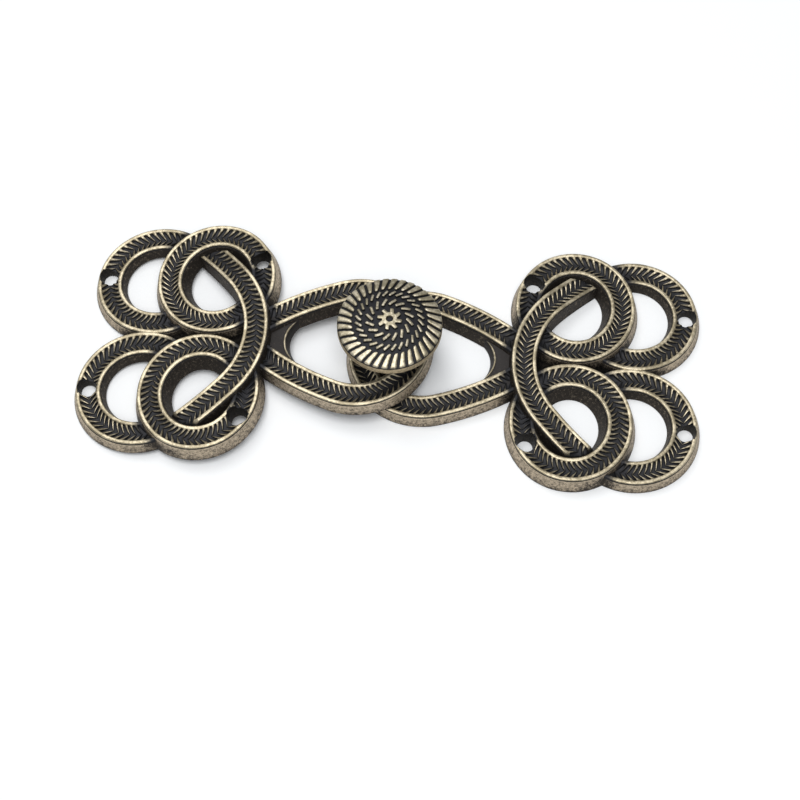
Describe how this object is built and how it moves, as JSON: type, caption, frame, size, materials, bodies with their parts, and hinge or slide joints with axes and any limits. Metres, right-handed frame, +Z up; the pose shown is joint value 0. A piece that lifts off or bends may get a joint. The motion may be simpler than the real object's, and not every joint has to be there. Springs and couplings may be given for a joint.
{
  "type": "snap cloak clasp in two knotted halves, fastened",
  "caption": "Two-part sew-on cloak clasp, cast as mirrored knotwork halves that lap at their noses and are held by a domed snap cap.",
  "frame": {"origin": "on the surface that the clasp lies on, below the snap axis", "axes": "+X along the clasp from the snap axis to the half that lies below, +Z up through the snap"},
  "size_m": [0.096, 0.0414, 0.0119],
  "materials": {
    "cast_brass": "antiqued, dark in the grooves, rubbed bright on the rims",
    "cap_brass": "antiqued, dark field, raised strokes rubbed bright",
    "post_brass": "plain, dark antique brass"
  },
  "bodies": {
    "root": {"right_knot": "cast_brass", "left_knot": "cast_brass", "snap_cap": "cap_brass", "snap_post": "post_brass"}
  },
  "joints": []
}
